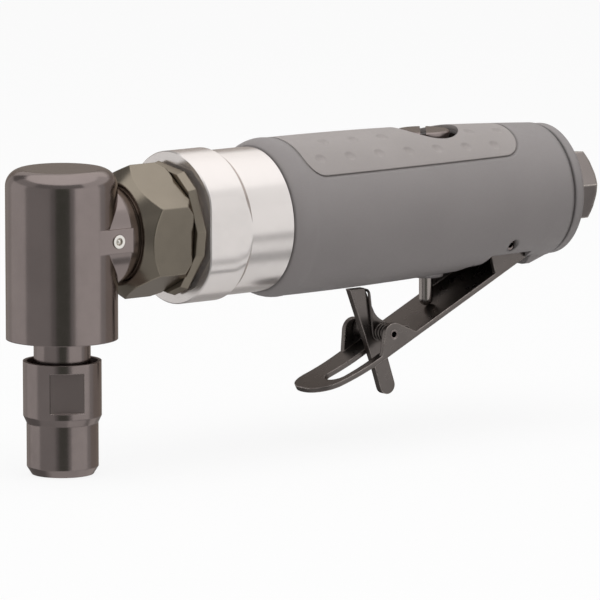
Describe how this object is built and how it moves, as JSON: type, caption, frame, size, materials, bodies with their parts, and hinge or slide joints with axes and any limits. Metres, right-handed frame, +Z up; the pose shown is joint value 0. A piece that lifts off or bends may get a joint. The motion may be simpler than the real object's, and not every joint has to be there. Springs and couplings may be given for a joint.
{
  "type": "right angle pneumatic die grinder",
  "caption": "Hand-held air tool with an upright angle head and collet, a tapered soft grip, a throttle lever with safety catch and a rear air inlet.",
  "frame": {"origin": "middle of the collet's nose, on the spindle axis", "axes": "+Z up along the spindle into the head, +X along the handle towards the air inlet, +Y to the side away from the grease fitting"},
  "size_m": [0.1793, 0.0412, 0.0806],
  "materials": {
    "head": "semi-gloss dark",
    "dark_steel": "black oxide",
    "bronze_steel": "bronzed, semi-gloss",
    "bright_alloy": "polished, fine turned",
    "housing_alloy": "turned",
    "grip": "matte, soft touch",
    "panel": "matte, soft touch",
    "lever": "dark satin",
    "deflector": "matte",
    "nickel": "nickel plated",
    "inner_steel": "ground",
    "bronze": "machined",
    "vane": "laminated",
    "felt": "pressed felt"
  },
  "bodies": {
    "housing": {"angle_head": "head", "grease_fitting": "nickel", "upper_spindle_bearing": "inner_steel", "lower_spindle_bearing": "inner_steel", "bearing_retainer": "dark_steel", "pinion_bearing": "inner_steel", "pinion_clip": "inner_steel", "coupling_nut": "bronze_steel", "coupling_clip": "inner_steel", "jam_ring": "bronze_steel", "front_adapter": "bright_alloy", "motor_housing": "housing_alloy", "front_end_plate": "inner_steel", "front_rotor_bearing": "inner_steel", "motor_cylinder": "inner_steel", "cylinder_dowel": "inner_steel", "rear_end_plate": "inner_steel", "rear_rotor_bearing": "inner_steel", "grip_sleeve": "grip", "grip_panel": "panel", "plunger_bushing": "bronze", "valve_seat": "bronze", "inlet_bushing": "nickel", "inlet_screen": "bronze", "muffler": "felt", "lever_pin": "dark_steel", "valve_spring": "inner_steel"},
    "rotor": {"rotor": "inner_steel", "vane_1": "vane", "vane_2": "vane", "vane_3": "vane", "vane_4": "vane", "vane_5": "vane", "bevel_pinion": "inner_steel", "drive_coupling": "inner_steel"},
    "spindle": {"spindle": "dark_steel", "bevel_gear": "inner_steel", "collet": "inner_steel", "collet_nut": "dark_steel"},
    "throttle": {"throttle_lever": "lever", "lock_pin": "dark_steel"},
    "lock": {"lock_lever": "lever", "lock_spring": "dark_steel"},
    "plunger": {"throttle_plunger": "nickel", "throttle_valve": "bronze"},
    "regulator": {"air_regulator": "dark_steel"},
    "deflector": {"exhaust_deflector": "deflector"}
  },
  "joints": [
    {"name": "motor_spin", "type": "hinge", "parent": "housing", "child": "rotor", "pos_m": [0.06, 0, 0.06], "axis": [1, 0, 0], "continuous": true},
    {"name": "spindle_spin", "type": "hinge", "parent": "housing", "child": "spindle", "pos_m": [0, 0, 0.03], "axis": [0, 0, 1], "continuous": true},
    {"name": "throttle_press", "type": "hinge", "parent": "housing", "child": "throttle", "pos_m": [0.133, 0, 0.0484], "axis": [0, 1, 0], "range_deg": [0, 9], "stiffness_Nm_per_rad": 0.3, "springref_deg": -9.74},
    {"name": "lock_fold", "type": "hinge", "parent": "throttle", "child": "lock", "pos_m": [0.09904, 0, 0.0273], "axis": [0, -1, 0], "range_deg": [0, 54.1], "stiffness_Nm_per_rad": 0.004, "springref_deg": -45.84},
    {"name": "plunger_slide", "type": "slide", "parent": "housing", "child": "plunger", "axis": [0, 0, 1], "range_m": [0, 0.00372], "deforming": ["valve_spring"]},
    {"name": "regulator_turn", "type": "hinge", "parent": "housing", "child": "regulator", "pos_m": [0.11455, 0, 0.075], "axis": [0, 0, 1], "range_deg": [-90, 90]},
    {"name": "deflector_turn", "type": "hinge", "parent": "housing", "child": "deflector", "pos_m": [0.153, 0, 0.06], "axis": [1, 0, 0], "continuous": true}
  ],
  "couplings": [
    {"joint": "spindle_spin", "follows": "motor_spin", "ratio": 0.88235},
    {"joint": "lock_fold", "follows": "throttle_press", "ratio": 6},
    {"joint": "plunger_slide", "follows": "throttle_press", "m_per_rad": 0.0236}
  ]
}
